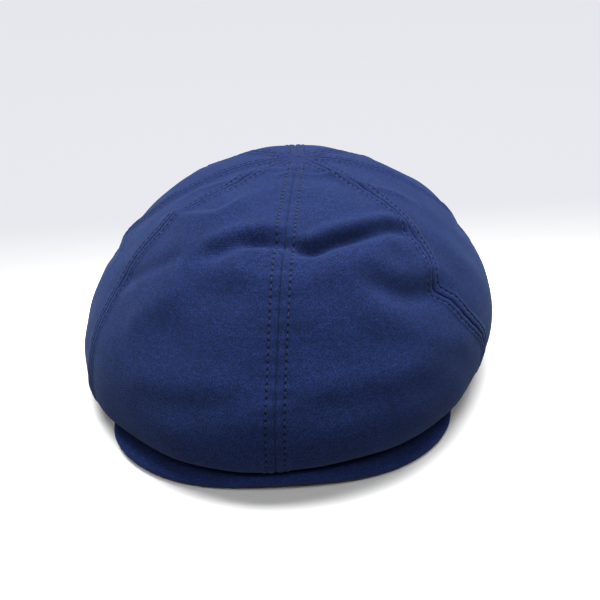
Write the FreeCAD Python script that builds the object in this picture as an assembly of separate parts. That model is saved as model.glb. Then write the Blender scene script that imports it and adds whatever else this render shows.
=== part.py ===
import FreeCAD, Part
import math
import os

# Newsboy cap with eight crown gores, a stiffened band, a lined inside and a short visor
# that is held up under the crown's front by a press stud. Millimetres, +Z up, the
# visor points along -Y, +X is the wearer's left. The band's lower rim stands on Z = 0,
# and the origin is the middle of the footprint.

V = FreeCAD.Vector

# --- head opening and band -------------------------------------------------------
HEAD_HALF_WIDTH = 87.0
HEAD_HALF_LENGTH = 100.0
SWEATBAND_THICK = 1.0
STIFFENER_THICK = 0.6
HEADBAND_THICK = 1.4
LAYER_GAP = 0.1
BAND_HEIGHT = 30.0
SWEATBAND_HEIGHT = 29.0

# --- crown, measured from the middle of the head opening ---------------------------
CROWN_HALF_WIDTH = 128.0
CROWN_FRONT = 146.0
CROWN_BACK = 130.0
CROWN_TOP = 119.0
JUNCTION_BACK = 25.0
PANEL_THICK = 1.2
SEAM_GAP_DEG = 0.12
TOP_START = 0.025
# the gores of one side, front to back, equally spaced around the junction
GORE_NAMES = ("front_panel", "front_side_panel", "back_side_panel", "back_panel")
# values at the front, the sides and the back of the crown
WIDEST_HEIGHT = (22.5, 30.0, 53.0)
TOP_FULLNESS = (0.56, 0.53, 0.57)
SHOULDER_FULLNESS = (0.52, 0.50, 0.58)
LOWEST_HEIGHT = (11.8, 16.0, 22.0)
CROWN_SEAM_HEIGHT = 27.5

# --- visor -----------------------------------------------------------------------
VISOR_HALF_WIDTH = 95.0
VISOR_REACH = 142.0
VISOR_CORNER_Y = -45.0
VISOR_WIDEST_Y = -61.0
VISOR_FRONT_TURN = 84.0
VISOR_EDGE_HEIGHT = 3.0
VISOR_ARCH = 5.0
VISOR_THICK = 4.8
BOARD_THICK = 2.4
BOARD_INSET = 1.6
BOARD_CLEARANCE = 0.1
VISOR_BAND_GAP = 1.0

# --- press stud --------------------------------------------------------------------
SNAP_Y = -131.0
SNAP_RADIUS = 6.0
SNAP_POST_RADIUS = 1.5
SNAP_BORE_RADIUS = 2.4
SNAP_PLATE_RADIUS = 5.0
SNAP_BASE_THICK = 0.6
SNAP_SOCKET_THICK = 1.5
SNAP_CLEARANCE = 0.3
SNAP_PLATE_THICK = 0.55
SNAP_PLATE_RECESS = 0.8
SNAP_PLATE_CLEARANCE = 0.4

# --- lining and small sewn pieces ----------------------------------------------------
LINING_THICK = 0.7
LINING_TOP = 100.0
LINING_TIP_HEIGHT = 84.0
LINING_SEAM_GAP = 0.3
ELASTIC_MIDDLE = 180.0
ELASTIC_HALF_ANGLE = 30.0
ELASTIC_THICK = 1.0
ELASTIC_SPAN = (5.0, 25.0)
LABEL_MIDDLE = 130.0
LABEL_HALF_ANGLE = 10.0
LABEL_THICK = 0.5
LABEL_SPAN = (6.0, 24.0)

# the footprint's middle is the origin, so the head opening sits behind it
OPENING_Y = (max(VISOR_REACH, CROWN_FRONT) - CROWN_BACK) / 2.0
# larger than the cap every way, for solids that are only cut with
FAR = 200.0

SWEAT_OUT = (HEAD_HALF_WIDTH + SWEATBAND_THICK, HEAD_HALF_LENGTH + SWEATBAND_THICK)
STIFF_IN = (SWEAT_OUT[0] + LAYER_GAP, SWEAT_OUT[1] + LAYER_GAP)
STIFF_OUT = (STIFF_IN[0] + STIFFENER_THICK, STIFF_IN[1] + STIFFENER_THICK)
BAND_IN = (STIFF_OUT[0] + LAYER_GAP, STIFF_OUT[1] + LAYER_GAP)
BAND_OUT = (BAND_IN[0] + HEADBAND_THICK, BAND_IN[1] + HEADBAND_THICK)


def save(name, shape):
    if not shape.isValid():
        print("NOT VALID", name)
    box = shape.BoundBox
    print("%-20s solids %d volume %9.1f x %7.1f %7.1f y %7.1f %7.1f z %6.1f %6.1f" % (
        name, len(shape.Solids), shape.Volume,
        box.XMin, box.XMax, box.YMin, box.YMax, box.ZMin, box.ZMax))
    shape.exportStep("parts/%s.step" % name)


def around(front_side_back, angle):
    """A value that runs smoothly from front to side to back of the crown."""
    front, side, back = front_side_back
    second = (front + back - 2.0 * side) / 4.0
    first = (front - back) / 2.0
    return side + second + first * math.cos(angle) + second * math.cos(2.0 * angle)


def bezier(p0, p1, p2, p3, t):
    s = 1.0 - t
    return p0 * (s ** 3) + p1 * (3 * s * s * t) + p2 * (3 * s * t * t) + p3 * (t ** 3)


def ring_point(half_width, half_length, angle, z):
    return V(half_width * math.sin(angle), OPENING_Y - half_length * math.cos(angle), z)


def crown_point(angle, w):
    """The crown's outside: w runs 0 to 1 over the top and 1 to 2 under to the band."""
    reach = CROWN_FRONT if math.cos(angle) > 0 else CROWN_BACK
    rim = ring_point(CROWN_HALF_WIDTH, reach, angle, around(WIDEST_HEIGHT, angle))
    if w <= 1.0:
        top = V(0, OPENING_Y + JUNCTION_BACK, CROWN_TOP)
        out = V(rim.x - top.x, rim.y - top.y, 0)
        shoulder = around(SHOULDER_FULLNESS, angle) * (CROWN_TOP - rim.z)
        return bezier(top, top + out * around(TOP_FULLNESS, angle),
                      rim + V(0, 0, shoulder), rim, w)
    seam = ring_point(BAND_OUT[0] + PANEL_THICK, BAND_OUT[1] + PANEL_THICK,
                      angle, CROWN_SEAM_HEIGHT)
    low = around(LOWEST_HEIGHT, angle)
    out = V(rim.x - seam.x, rim.y - seam.y, 0)
    drop = V(rim.x, rim.y, low - 0.25 * (rim.z - low))
    inner = V(seam.x + 0.5 * out.x, seam.y + 0.5 * out.y, low - 2.0)
    return bezier(rim, drop, inner, seam, w - 1.0)


def crown_normal(angle, w):
    """The outward direction, from small steps along and across the crown."""
    step = 0.004
    across = crown_point(angle + step, w) - crown_point(angle - step, w)
    along = crown_point(angle, min(w + step, 2.0)) - crown_point(angle, w - step)
    normal = along.cross(across)
    normal.normalize()
    return normal


def surface_through(rows):
    surface = Part.BSplineSurface()
    surface.interpolate(rows)
    return surface


def band_between(edge, other):
    """The narrow ruled face between two edges, whichever way round they run."""
    choices = [Part.makeRuledSurface(edge, other),
               Part.makeRuledSurface(edge, other.reversed())]
    return min(choices, key=lambda face: face.Area)


def boundary_edges(surface):
    u0, u1, v0, v1 = surface.bounds()
    return [surface.uIso(u0).toShape(), surface.uIso(u1).toShape(),
            surface.vIso(v0).toShape(), surface.vIso(v1).toShape()]


def shell_between(outer_rows, inner_rows):
    """A closed solid between two surfaces that have matching borders."""
    outer = surface_through(outer_rows)
    inner = surface_through(inner_rows)
    faces = [outer.toShape(), inner.toShape()]
    for a, b in zip(boundary_edges(outer), boundary_edges(inner)):
        faces.append(band_between(a, b))
    sewn = Part.makeShell(faces)
    sewn.sewShape()
    solid = Part.makeSolid(sewn)
    if solid.Volume < 0:
        solid.reverse()
    return solid


def rim_angle(turn_deg):
    """Where a seam reaches the widest line, if it leaves the junction at this turn."""
    low = 0.0
    high = 180.0
    while high - low > 1e-6:
        middle = (low + high) / 2.0
        angle = math.radians(middle)
        rim = crown_point(angle, 1.0)
        turn = math.degrees(math.atan2(rim.x, OPENING_Y + JUNCTION_BACK - rim.y))
        if turn < turn_deg:
            low = middle
        else:
            high = middle
    return low


def crown_gore(start_deg, end_deg):
    """One panel of the crown, from the junction at the top down and under to the band."""
    columns = 9
    rows = 27
    outer = []
    inner = []
    for i in range(columns):
        span = end_deg - start_deg - 2.0 * SEAM_GAP_DEG
        angle = math.radians(start_deg + SEAM_GAP_DEG + span * i / (columns - 1))
        outer_row = []
        inner_row = []
        for j in range(rows):
            w = TOP_START + (2.0 - TOP_START) * j / (rows - 1)
            point = crown_point(angle, w)
            outer_row.append(point)
            inner_row.append(point - crown_normal(angle, w) * PANEL_THICK)
        outer.append(outer_row)
        inner.append(inner_row)
    return shell_between(outer, inner)


def oval_prism(half_width, half_length, z0, z1):
    oval = Part.Ellipse(V(0, OPENING_Y + half_length, 0), V(half_width, OPENING_Y, 0),
                        V(0, OPENING_Y, 0))
    face = Part.Face(Part.Wire([oval.toShape()]))
    face.translate(V(0, 0, z0))
    return face.extrude(V(0, 0, z1 - z0))


def oval_ring(inside, outside, z0, z1):
    return oval_prism(outside[0], outside[1], z0, z1).cut(
        oval_prism(inside[0], inside[1], z0 - 1.0, z1 + 1.0))


def wedge(middle_deg, half_deg, z0, z1):
    """A pie slice of the head opening, used to keep part of a ring."""
    points = [V(0, OPENING_Y, z0)]
    for turn in (middle_deg - half_deg, middle_deg, middle_deg + half_deg):
        points.append(ring_point(FAR, FAR, math.radians(turn), z0))
    points.append(points[0])
    return Part.Face(Part.makePolygon(points)).extrude(V(0, 0, z1 - z0))


def lining_shell():
    """The lining's dome: half an ellipsoid that stands on the band's upper rim."""
    rise = LINING_TOP - BAND_HEIGHT

    def dome(half_width, half_length, height):
        ball = Part.makeSphere(1.0)
        grow = FreeCAD.Matrix()
        grow.scale(half_width, half_length, height)
        ball = ball.transformGeometry(grow)
        ball.translate(V(0, OPENING_Y, BAND_HEIGHT))
        return ball

    outer = dome(STIFF_OUT[0], STIFF_OUT[1], rise)
    inner = dome(STIFF_OUT[0] - LINING_THICK, STIFF_OUT[1] - LINING_THICK,
                 rise - LINING_THICK)
    return outer.cut(inner)


def block(x0, x1, y0, y1, z0, z1):
    return Part.makeBox(x1 - x0, y1 - y0, z1 - z0, V(x0, y0, z0))


def lining_pieces():
    """A tip at the top and two side pieces that meet at the centre front and back."""
    shell = lining_shell()
    split = LINING_SEAM_GAP / 2.0
    low = BAND_HEIGHT + LAYER_GAP
    high = LINING_TIP_HEIGHT - split
    tip = shell.common(block(-FAR, FAR, -FAR, FAR, LINING_TIP_HEIGHT + split, FAR))
    right = shell.common(block(-FAR, -split, -FAR, FAR, low, high))
    left = shell.common(block(split, FAR, -FAR, FAR, low, high))
    return {"lining_tip": tip, "lining_right": right, "lining_left": left}


def visor_outline(inset):
    """The visor's plan: a rounded front, and a back edge that follows the band."""
    half_width = VISOR_HALF_WIDTH - inset
    front_y = OPENING_Y - VISOR_REACH + inset
    widest_y = OPENING_Y + VISOR_WIDEST_Y
    corner_y = OPENING_Y + VISOR_CORNER_Y - 0.5 * inset
    band_half_width = BAND_OUT[0] + VISOR_BAND_GAP + inset
    band_half_length = BAND_OUT[1] + VISOR_BAND_GAP + inset
    corner_angle = math.acos((OPENING_Y - corner_y) / band_half_length)
    corner = ring_point(band_half_width, band_half_length, corner_angle, 0)
    # front: one smooth curve from corner to corner
    depth = widest_y - front_y
    front = [V(corner.x, corner.y, 0)]
    steps = 12
    for i in range(steps + 1):
        turn = math.radians(VISOR_FRONT_TURN * (1.0 - 2.0 * i / steps))
        front.append(V(half_width * math.sin(turn), widest_y - depth * math.cos(turn), 0))
    front.append(V(-corner.x, corner.y, 0))
    front_curve = Part.BSplineCurve()
    front_curve.interpolate(front)
    back = []
    for i in range(13):
        angle = -corner_angle + 2.0 * corner_angle * i / 12
        back.append(ring_point(band_half_width, band_half_length, angle, 0))
    back_curve = Part.BSplineCurve()
    back_curve.interpolate(back)
    return Part.Face(Part.Wire([front_curve.toShape(), back_curve.toShape()]))


def arched_slab(low, high):
    """A slab that arches over X: its faces lie low and high above the middle surface."""
    reach = 1.3 * VISOR_HALF_WIDTH
    drop = VISOR_ARCH * (1.0 - (reach / VISOR_HALF_WIDTH) ** 2)

    def arc(offset):
        side = VISOR_EDGE_HEIGHT + drop + offset
        middle = VISOR_EDGE_HEIGHT + VISOR_ARCH + offset
        return Part.Arc(V(-reach, -FAR, side), V(0, -FAR, middle), V(reach, -FAR, side))

    bottom = arc(low)
    top = arc(high)
    edges = [bottom.toShape(), Part.makeLine(bottom.EndPoint, top.EndPoint),
             top.toShape(), Part.makeLine(top.StartPoint, bottom.StartPoint)]
    return Part.Face(Part.Wire(Part.__sortEdges__(edges))).extrude(V(0, FAR, 0))


def visor_slice(inset, low, high):
    """The part of the visor between two heights above its middle surface."""
    face = visor_outline(inset)
    face.translate(V(0, 0, -FAR))
    return face.extrude(V(0, 0, 2.0 * FAR)).common(arched_slab(low, high))


def disc(radius, z0, z1, y=SNAP_Y):
    return Part.makeCylinder(radius, z1 - z0, V(0, OPENING_Y + y, z0))


def visor_pieces():
    """A board in a pocket between an upper and an under cover."""
    half = VISOR_THICK / 2.0
    board_half = BOARD_THICK / 2.0
    board_top = VISOR_EDGE_HEIGHT + VISOR_ARCH + board_half
    board = visor_slice(BOARD_INSET, -board_half, board_half)
    board = board.cut(disc(SNAP_PLATE_RADIUS + SNAP_PLATE_CLEARANCE,
                           board_top - SNAP_PLATE_RECESS, board_top + VISOR_THICK))
    room = visor_slice(BOARD_INSET - BOARD_CLEARANCE, -board_half - BOARD_CLEARANCE,
                       board_half + BOARD_CLEARANCE)
    top = visor_slice(0.0, LAYER_GAP / 2.0, half).cut(room)
    under = visor_slice(0.0, -half, -LAYER_GAP / 2.0).cut(room)
    return {"visor_board": board, "visor_top_cover": top, "visor_under_cover": under}


def crown_underside_heights():
    """Heights of the crown's outer face over the press stud, where it turns under."""
    heights = []
    w = 1.1
    while crown_point(0.0, w).y < OPENING_Y + SNAP_Y + SNAP_RADIUS:
        if crown_point(0.0, w).y > OPENING_Y + SNAP_Y - SNAP_RADIUS:
            heights.append(crown_point(0.0, w).z)
        w += 0.002
    return heights


def snap_pieces():
    """Stud and plate on the visor, socket and cap on the crown's underside."""
    visor_top = VISOR_EDGE_HEIGHT + VISOR_ARCH + VISOR_THICK / 2.0
    board_top = VISOR_EDGE_HEIGHT + VISOR_ARCH + BOARD_THICK / 2.0
    fabric = crown_underside_heights()
    print("press stud: visor top %.2f, crown underside %.2f to %.2f" % (
        visor_top, min(fabric), max(fabric)))
    plate = disc(SNAP_PLATE_RADIUS, board_top - SNAP_PLATE_THICK - LAYER_GAP / 2.0,
                 board_top - LAYER_GAP / 2.0)
    socket_top = min(fabric) - SNAP_CLEARANCE
    bore_top = socket_top - SNAP_CLEARANCE
    socket = disc(SNAP_RADIUS, socket_top - SNAP_SOCKET_THICK, socket_top)
    socket = socket.cut(disc(SNAP_BORE_RADIUS, 0, bore_top))
    stud = disc(SNAP_RADIUS, visor_top, visor_top + SNAP_BASE_THICK)
    post = disc(SNAP_POST_RADIUS, visor_top, bore_top - SNAP_CLEARANCE)
    stud = stud.fuse(post).removeSplitter()
    cap_bottom = max(fabric) + 1.1 * PANEL_THICK + SNAP_CLEARANCE
    cap = disc(SNAP_RADIUS, cap_bottom, cap_bottom + SNAP_BASE_THICK)
    return {"snap_stud": stud, "snap_stud_plate": plate,
            "snap_socket": socket, "snap_socket_cap": cap}


def band_strip(middle_deg, half_deg, thick, z0, z1):
    """A strip sewn on the sweatband's inside over part of its length."""
    outside = (HEAD_HALF_WIDTH - LAYER_GAP, HEAD_HALF_LENGTH - LAYER_GAP)
    inside = (outside[0] - thick, outside[1] - thick)
    return oval_ring(inside, outside, z0, z1).common(wedge(middle_deg, half_deg, 0, FAR))


def main():
    os.makedirs("parts", exist_ok=True)
    turn = 180.0 / len(GORE_NAMES)
    for index, name in enumerate(GORE_NAMES):
        start = rim_angle(index * turn)
        end = 180.0 if index == len(GORE_NAMES) - 1 else rim_angle((index + 1) * turn)
        save(name + "_left", crown_gore(start, end))
        save(name + "_right", crown_gore(360.0 - end, 360.0 - start))
    save("headband", oval_ring(BAND_IN, BAND_OUT, 0, BAND_HEIGHT))
    save("band_stiffener", oval_ring(STIFF_IN, STIFF_OUT, 1.0, SWEATBAND_HEIGHT))
    inside = (HEAD_HALF_WIDTH, HEAD_HALF_LENGTH)
    save("sweatband", oval_ring(inside, SWEAT_OUT, 0.5, SWEATBAND_HEIGHT + 0.5))
    save("back_elastic", band_strip(ELASTIC_MIDDLE, ELASTIC_HALF_ANGLE, ELASTIC_THICK,
                                    *ELASTIC_SPAN))
    save("size_label", band_strip(LABEL_MIDDLE, LABEL_HALF_ANGLE, LABEL_THICK, *LABEL_SPAN))
    for name, shape in lining_pieces().items():
        save(name, shape)
    for name, shape in visor_pieces().items():
        save(name, shape)
    for name, shape in snap_pieces().items():
        save(name, shape)


main()
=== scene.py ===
import math

import bpy
import numpy as np
from mathutils import Matrix, Vector


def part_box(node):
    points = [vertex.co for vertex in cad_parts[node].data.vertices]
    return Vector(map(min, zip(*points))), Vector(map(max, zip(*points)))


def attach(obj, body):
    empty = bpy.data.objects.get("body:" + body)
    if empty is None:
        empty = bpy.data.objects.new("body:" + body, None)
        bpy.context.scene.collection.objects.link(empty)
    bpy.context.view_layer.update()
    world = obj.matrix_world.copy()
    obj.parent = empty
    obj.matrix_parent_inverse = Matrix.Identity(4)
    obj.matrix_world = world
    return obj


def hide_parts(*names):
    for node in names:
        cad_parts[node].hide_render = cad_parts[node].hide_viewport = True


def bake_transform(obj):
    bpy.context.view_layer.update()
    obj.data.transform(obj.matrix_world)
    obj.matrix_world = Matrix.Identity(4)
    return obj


# A blue twill newsboy cap with an eight-gore crown, standing on its band.
# Metres, +Z up, the visor points along -Y and +X is the wearer's left.
#
# The crown is described by two numbers: angle, in radians from the front towards the
# wearer's left, and w, which runs 0 to 1 from the junction of the seams over the top to the
# widest line, and 1 to 2 from there under the crown to the band.

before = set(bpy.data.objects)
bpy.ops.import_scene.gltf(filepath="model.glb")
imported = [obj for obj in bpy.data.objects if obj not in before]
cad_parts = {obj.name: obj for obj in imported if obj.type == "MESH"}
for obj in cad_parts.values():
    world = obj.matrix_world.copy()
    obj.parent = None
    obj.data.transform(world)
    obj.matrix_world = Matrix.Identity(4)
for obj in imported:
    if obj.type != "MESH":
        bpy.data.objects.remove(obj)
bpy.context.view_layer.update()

MM = 0.001
TAU = 2.0 * math.pi
UP = np.array((0.0, 0.0, 1.0))

# --- sizes that the frame gives ---
band_low, band_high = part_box("headband")
sweat_low, sweat_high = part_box("sweatband")
BAND_HALF = ((band_high[0] - band_low[0]) / 2, (band_high[1] - band_low[1]) / 2)
SWEAT_HALF = ((sweat_high[0] - sweat_low[0]) / 2, (sweat_high[1] - sweat_low[1]) / 2)
OPENING_Y = (band_low[1] + band_high[1]) / 2
BAND_TOP = band_high[2]
CROWN_HALF_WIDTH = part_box("front_side_panel_left")[1][0]
CROWN_FRONT = OPENING_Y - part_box("front_panel_left")[0][1]
CROWN_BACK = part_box("back_panel_left")[1][1] - OPENING_Y
CROWN_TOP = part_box("front_panel_left")[1][2]
visor_low, visor_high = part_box("visor_top_cover")
VISOR_REACH = OPENING_Y - visor_low[1]
VISOR_CORNER_Y = visor_high[1]
LINING_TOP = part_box("lining_tip")[1][2]
TIP_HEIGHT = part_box("lining_tip")[0][2]

# --- the crown's shape: values at its front, sides and back ---
WIDEST_HEIGHT = (22.4 * MM, 27.5 * MM, 53.0 * MM)
TOP_FULLNESS = (0.558, 0.518, 0.567)
SHOULDER_FULLNESS = (0.53, 0.48, 0.58)
LOWEST_HEIGHT = (11.6 * MM, 12.2 * MM, 21.0 * MM)
CROWN_SEAM_HEIGHT = 27.5 * MM
JUNCTION_BACK = 25.0 * MM
# the soft crown has settled unevenly: its junction lies to the wearer's left and its rim
# hangs lower on the right
JUNCTION_LEAN = 9.0 * MM
RIM_TILT = 8.0 * MM
# how the underside turns in below the widest line
UNDER_TUCK = 0.25
UNDER_REACH = 0.5
UNDER_DROP = 2.0 * MM
GORES = ("front_panel_left", "front_side_panel_left", "back_side_panel_left",
         "back_panel_left", "back_panel_right", "back_side_panel_right",
         "front_side_panel_right", "front_panel_right")
# where a seam strays from its straight run: (degrees, place along it, spread); a stray
# near the rim carries on underneath
NEAR_RIM = 0.9
SEAM_WANDER = {1: ((3.0, 0.33, 0.12), (-4.0, 0.61, 0.06), (8.0, 0.95, 0.15)),
               2: ((3.0, 0.30, 0.20),),
               6: ((5.0, 0.35, 0.25),),
               7: ((-9.5, 0.52, 0.36),)}

# --- cloth and sewing ---
CLOTH_THICK = 1.1 * MM
GORE_BULGE = 0.8 * MM
ALLOWANCE_THICK = 1.6 * MM
ALLOWANCE_WIDTH = 3.0 * MM
STITCH_PITCH = 3.5 * MM
STITCH_LENGTH = 2.6 * MM
STITCH_RADIUS = 0.19 * MM
STITCH_RISE = 0.30 * MM
STITCH_DIP = 0.25 * MM
# each row lies this far from its seam and starts this far from the junction
STITCH_ROW = 4.5 * MM
STITCH_START = 12.0 * MM
WELT_HEIGHT = 0.5 * MM
WELT_EDGE = (5.2 * MM, 7.0 * MM)
ROW_DIP = 0.45 * MM
ROW_DIP_WIDTH = 0.65 * MM
ROW_RIDGE = 0.2 * MM
OUTER_RIDGE = 5.8 * MM
PUCKER_HEIGHT = 0.16 * MM
PUCKER_PITCH = 8.3 * MM
GROOVE_DEPTH = 0.9 * MM
GROOVE_WIDTH = 0.5 * MM
GROOVE_START = 18.0 * MM
# what a piece without seams has as its distance from the nearest one
UNSEWN = 1.0
# distances from a seam at which the gore's grid is dense; the stitches follow one of them
NEAR_SEAM = np.array((0.06, 0.3, 0.6, 1.0, 1.8, 2.8, 3.5, 4.0, 4.5, 5.0, 5.6, 6.6, 8.2)) * MM
ROW_COLUMN = 8
MIDDLE_COLUMNS = 26
TOP_ROWS = 150
UNDER_ROWS = 46
FIRST_ROW = 0.002

# --- visor ---
VISOR_HALF_WIDTH = 95.0 * MM
VISOR_CORNER_X = 83.5 * MM
# handles of the curve that its front edge follows from the middle to a corner
VISOR_FRONT_HANDLE = 66.0 * MM
VISOR_SIDE_HANDLE = (119.0 * MM, 99.0 * MM)
VISOR_HALF_THICK = 2.8 * MM
VISOR_COVER_THICK = 0.9 * MM
VISOR_NOSE = 3.4 * MM
BOARD_HALF_THICK = 1.1 * MM
BOARD_INSET = 2.2 * MM
BOARD_TRIM = 3
# its flanks come down almost to the table and its middle arches up, a little to the left
VISOR_CLEAR = 0.5 * MM
VISOR_LIFT = 5.3 * MM
VISOR_LIFT_X = 4.0 * MM
VISOR_LIFT_HALF_WIDTH = 66.0 * MM
# the wearer's left side of it is pushed back
VISOR_SKEW = 0.045
VISOR_GAP = 0.5 * MM

# --- band and lining ---
HEADBAND_THICK = 1.3 * MM
SWEATBAND_THICK = 0.9 * MM
ELASTIC_THICK = 0.8 * MM
LABEL_THICK = 0.4 * MM
PATCH_INSET = 1.35 * MM
RIB_HEIGHT = 0.16 * MM
# degrees round the band over which the elastic draws the sweatband in, and lets it out again
GATHER_IN = (148, 160)
GATHER_OUT = (200, 212)
LINING_THICK = 0.6 * MM
LINING_CLEAR = 1.0 * MM
# rough radius and rise of the lining, which set the size of its weave
LINING_RUN = (0.09, 0.11)

# --- the slack cloth ---
# Each fold is its path of (degrees, w) points, its signed depth and its width, and for some
# the height of the roll beside it and the part of the path over which each end fades out.
# Depths, widths and heights are in millimetres.
FOLDS = (
    # the deep crease across the front gore on the wearer's right, and the pinch in it
    (((-40, 0.455), (-31, 0.435), (-25, 0.41), (-19, 0.378), (-10, 0.36), (2, 0.37),
      (12, 0.375)), -4.3, 5.6, 2.6, 0.38),
    (((-22, 0.39), (-12, 0.368), (-2, 0.375), (10, 0.385)), -2.6, 3.0, 0.0, 0.4),
    # the same on the wearer's left
    (((-6, 0.39), (3, 0.395), (12, 0.398), (21, 0.382), (35, 0.387), (48, 0.40), (55, 0.44),
      (57, 0.49)), -4.3, 4.8, 2.8, 0.30),
    (((-2, 0.394), (6, 0.397), (12, 0.400), (21, 0.386), (33, 0.390), (50, 0.405)),
     -1.9, 2.8, 0.0, 0.35),
    # the swelling just below both creases
    (((-30, 0.50), (-20, 0.455), (-4, 0.475), (4, 0.485), (15, 0.465), (26, 0.45),
      (36, 0.455)), 1.4, 7),
    # the dimple beside the front left seam, and the roll that it pushes up
    (((22, 0.47), (29, 0.50), (33, 0.54), (39, 0.58), (47, 0.61), (55, 0.62), (60, 0.62)),
     -3.6, 7.5, 1.6, 0.3),
    (((20, 0.53), (29, 0.61), (40, 0.70), (52, 0.81), (58, 0.88)), 1.4, 9),
    # rolls and creases that run up from the sides to the junction
    (((-78, 0.43), (-70, 0.395), (-57, 0.365), (-40, 0.325), (-33, 0.265), (-31, 0.18)),
     2.3, 4.2, -1.0),
    (((-84, 0.42), (-81, 0.29), (-66, 0.165), (-40, 0.10), (-12, 0.072)), 1.1, 4),
    (((-40, 0.12), (-13, 0.088), (10, 0.088), (48, 0.12), (66, 0.18)), -1.5, 3.0, -1.6),
    (((42, 0.11), (52, 0.15), (60, 0.235), (75, 0.335), (83, 0.455)), 1.4, 4),
    # soft slack low on the front
    (((-66, 0.64), (-61, 0.60), (-54, 0.535), (-43, 0.465), (-36, 0.44)), -1.7, 6),
    (((-50, 0.70), (-46, 0.66), (-42, 0.60), (-33, 0.53), (-28, 0.49)), 1.2, 9),
    (((-34, 0.57), (-26, 0.53), (-16, 0.51), (-5, 0.51)), -1.0, 9),
    (((-40, 0.87), (-33, 0.85), (-22, 0.84), (-11, 0.80), (-4, 0.765)), -1.1, 8, 0.9),
    (((3, 0.815), (13, 0.83), (22, 0.835), (34, 0.86), (42, 0.88)), -1.3, 8, 1.0),
    # slack behind and at the sides
    (((120, 0.35), (134, 0.5), (150, 0.55), (172, 0.5)), -2.4, 8, 1.8),
    (((190, 0.42), (205, 0.55), (222, 0.58), (240, 0.5)), -2.2, 7, 1.6),
    (((84, 0.62), (100, 0.70), (118, 0.68), (132, 0.60)), -1.8, 7, 1.2),
    (((248, 0.66), (262, 0.72), (278, 0.66)), -1.6, 6, 1.0),
)


# --- small maths ---

def smoothstep(low, high, x):
    """0 where x is at or below low, 1 at or above high, smooth between."""
    t = np.clip((x - low) / (high - low), 0.0, 1.0)
    return t * t * (3.0 - 2.0 * t)


def bell(x, width):
    """1 at x = 0, falling off on both sides within about width."""
    return np.exp(-(x / width) ** 2)


def unit(v):
    """Vectors scaled to length 1."""
    return v / np.maximum(np.linalg.norm(v, axis=-1, keepdims=True), 1e-12)


def ripple(points, size, seed):
    """Smooth seeded noise near -1 to 1, with lumps about size across."""
    waves = 20
    random = np.random.default_rng(seed)
    total = np.zeros(points.shape[:-1])
    for _ in range(waves):
        direction = unit(random.normal(size=3))
        rate = TAU / size * random.uniform(0.45, 1.3)
        total += np.sin(points @ direction * rate + random.uniform(0, TAU))
    return total / math.sqrt(waves)


def around(front_side_back, angle):
    """A value that runs smoothly from front to side to back of the crown."""
    front, side, back = front_side_back
    second = (front + back - 2.0 * side) / 4.0
    first = (front - back) / 2.0
    return side + second + first * np.cos(angle) + second * np.cos(2.0 * angle)


def bezier(p0, p1, p2, p3, t):
    t = np.asarray(t)[..., None]
    s = 1.0 - t
    return p0 * s ** 3 + 3 * p1 * s * s * t + 3 * p2 * s * t * t + p3 * t ** 3


def stack(x, y, z):
    """Points from their three coordinates."""
    x, y, z = np.broadcast_arrays(x, y, z)
    return np.stack((x, y, z), axis=-1)


def oval(half, angle, z):
    """A point on an oval round the head opening; angle 0 is the front."""
    return stack(half[0] * np.sin(angle), OPENING_Y - half[1] * np.cos(angle), z)


def run_length(points, axis=0):
    """Length along rows of points, starting at 0."""
    steps = np.linalg.norm(np.diff(points, axis=axis), axis=-1)
    pad = [(0, 0)] * steps.ndim
    pad[axis] = (1, 0)
    return np.pad(np.cumsum(steps, axis=axis), pad)


def grid_normals(grid):
    """Unit normals of a (rows, columns) grid of points."""
    across = np.gradient(grid, axis=1)
    along = np.gradient(grid, axis=0)
    return unit(np.cross(across, along))


def grid_area(grid):
    """The area that a grid of points covers."""
    along = np.diff(grid, axis=0)[:, :-1]
    across = np.diff(grid, axis=1)[:-1]
    return float(np.sum(np.linalg.norm(np.cross(along, across), axis=-1)))


def faces_inwards(grid, row, column, out):
    """Whether the grid's faces at a place turn their backs on the direction out."""
    corner = grid[row, column]
    across = grid[row, column + 1] - corner
    along = grid[row + 1, column] - corner
    return np.cross(across, along) @ out < 0


# --- mesh making ---

def add_object(name, vertices, faces, flat_from=None, layers=None):
    """A mesh object; faces after flat_from are borders, and layers are UV maps per vertex."""
    mesh = bpy.data.meshes.new(name)
    mesh.from_pydata(vertices.tolist(), [], faces)
    smooth = np.ones(len(faces), dtype=bool)
    if flat_from is not None:
        smooth[flat_from:] = False
    mesh.polygons.foreach_set("use_smooth", smooth)
    if layers:
        loops = np.empty(len(mesh.loops), dtype=np.int32)
        mesh.loops.foreach_get("vertex_index", loops)
        for layer_name, values in layers.items():
            layer = mesh.uv_layers.new(name=layer_name)
            layer.data.foreach_set("uv", values[loops].astype(np.float32).ravel())
    mesh.validate()
    mesh.update()
    piece = bpy.data.objects.new(name, mesh)
    bpy.context.scene.collection.objects.link(piece)
    return piece


def quads(rows, columns, first=0, closed=False, turned=False):
    """Faces of a grid whose vertices start at first."""
    faces = []
    last = columns if closed else columns - 1
    for r in range(rows - 1):
        for c in range(last):
            d = (c + 1) % columns
            face = [first + r * columns + c, first + r * columns + d,
                    first + (r + 1) * columns + d, first + (r + 1) * columns + c]
            faces.append(face[::-1] if turned else face)
    return faces


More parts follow.
